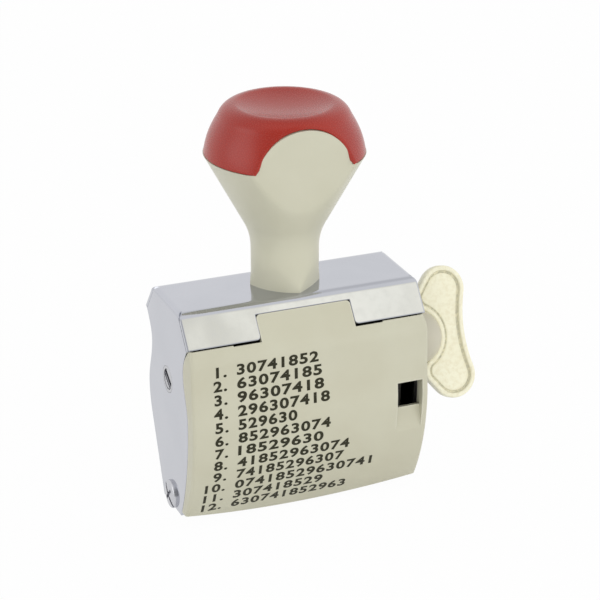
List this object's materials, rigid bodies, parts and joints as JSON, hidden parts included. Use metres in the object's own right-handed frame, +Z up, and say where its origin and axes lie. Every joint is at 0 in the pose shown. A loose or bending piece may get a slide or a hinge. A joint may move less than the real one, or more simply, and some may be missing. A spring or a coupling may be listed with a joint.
{
  "type": "text stamp",
  "caption": "Hand band stamp with a bent chrome housing, a moulded list cover with a number window, a mushroom handle and a side wing key that turns the text band.",
  "frame": {"origin": "on the print face, straight below the shaft and the handle's axis, midway between the side plates", "axes": "+Z up through the handle, -Y to the front with the list and the window, +X to the side with the key"},
  "size_m": [0.08, 0.0332, 0.0996],
  "materials": {
    "plated_sheet": "bright plated sheet",
    "cream_moulding": "satin moulded",
    "handle_moulding": "satin moulded",
    "red_cap": "semi-gloss moulded",
    "key_moulding": "satin with a fine sparkle",
    "dark_moulding": "satin moulded",
    "band_rubber": "smooth rubber",
    "shaft_steel": "turned",
    "screw_steel": "zinc plated",
    "spring_steel": "rolled spring strip",
    "platen_metal": "extruded"
  },
  "bodies": {
    "stamp": {"housing": "plated_sheet", "front_cover": "cream_moulding", "rear_cover": "cream_moulding", "handle_body": "handle_moulding", "handle_cap": "red_cap", "handle_screw": "screw_steel", "handle_washer": "screw_steel", "left_bush": "shaft_steel", "right_bush": "shaft_steel", "detent_spring": "spring_steel", "text_band": "band_rubber", "platen": "platen_metal", "platen_screws": "screw_steel"},
    "drive": {"drive_shaft": "shaft_steel", "wing_key": "key_moulding", "key_washer": "shaft_steel", "thrust_washer": "shaft_steel", "retaining_clip": "shaft_steel", "band_drum": "dark_moulding", "drum_pin": "shaft_steel", "detent_cam": "shaft_steel"}
  },
  "joints": [
    {"name": "key_turn", "type": "hinge", "parent": "stamp", "child": "drive", "pos_m": [0, 0, 0.0346], "axis": [1, 0, 0], "continuous": true, "deforming": ["detent_spring"]}
  ]
}
